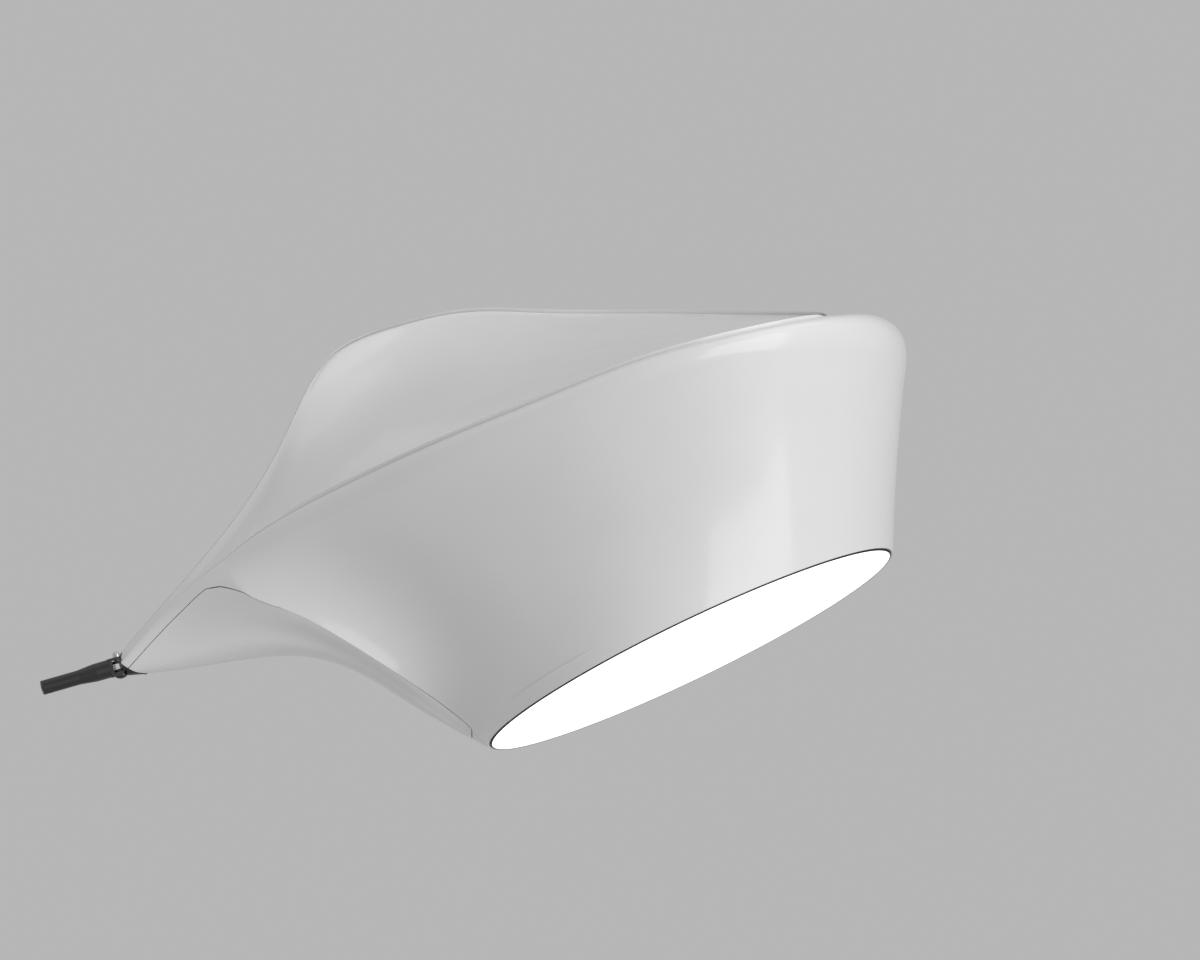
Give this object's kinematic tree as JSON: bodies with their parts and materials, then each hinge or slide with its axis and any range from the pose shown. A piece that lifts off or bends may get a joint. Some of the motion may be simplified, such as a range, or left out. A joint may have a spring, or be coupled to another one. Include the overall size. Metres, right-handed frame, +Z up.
{
  "type": "swing arm lamp head",
  "caption": "Sculpted white lamp head with a round lit mouth, hinged at its nose to the free end of a short black swing arm.",
  "frame": {"origin": "on the arm's axis at its free end", "axes": "+Z up as the lamp hangs, +X from the arm towards the head's lit end, -Y is the side seen in the picture"},
  "size_m": [0.6282, 0.4146, 0.3253],
  "materials": {
    "white_gloss": "high gloss",
    "opal": "satin opal, lit from behind",
    "black_metal": "satin black",
    "dark_steel": "black oxide",
    "bright_steel": "brushed",
    "washer": "matt",
    "lead_sheath": "matt",
    "black_rubber": "matt",
    "white_satin": "satin white",
    "board_white": "white solder mask on aluminium",
    "led_yellow": "phosphor yellow",
    "tray_aluminium": "satin",
    "case_plastic": "matt",
    "board_green": "printed circuit board with its parts",
    "terminal_plastic": "matt"
  },
  "bodies": {
    "arm": {"arm_tube": "black_metal", "arm_fork": "black_metal", "arm_grub_screw": "dark_steel", "arm_lead": "lead_sheath", "upper_pivot": "bright_steel", "lower_pivot": "dark_steel", "friction_washers": "washer"},
    "head": {"main_shell": "white_gloss", "underside_shell": "white_gloss", "bezel_gasket": "black_rubber", "diffuser": "opal", "diffuser_clips": "bright_steel", "reflector": "white_satin", "led_board": "board_white", "leds": "led_yellow", "board_screws": "bright_steel", "lamp_tray": "tray_aluminium", "tray_screws": "bright_steel", "spine": "tray_aluminium", "spine_screws": "bright_steel", "spine_pins": "bright_steel", "driver_case": "case_plastic", "driver_lid": "case_plastic", "driver_screws": "bright_steel", "driver_board": "board_green", "terminal_blocks": "terminal_plastic", "head_lead": "lead_sheath", "driver_lead": "lead_sheath", "lead_clamp": "case_plastic", "clamp_screws": "bright_steel", "nose_ferrule": "black_metal", "ferrule_gasket": "black_rubber"}
  },
  "joints": [
    {"name": "head_swing", "type": "hinge", "parent": "arm", "child": "head", "pos_m": [0.0547, 0.0116, 0.0156], "axis": [-0.2743, 0, 0.9617], "range_deg": [-50, 50]}
  ]
}
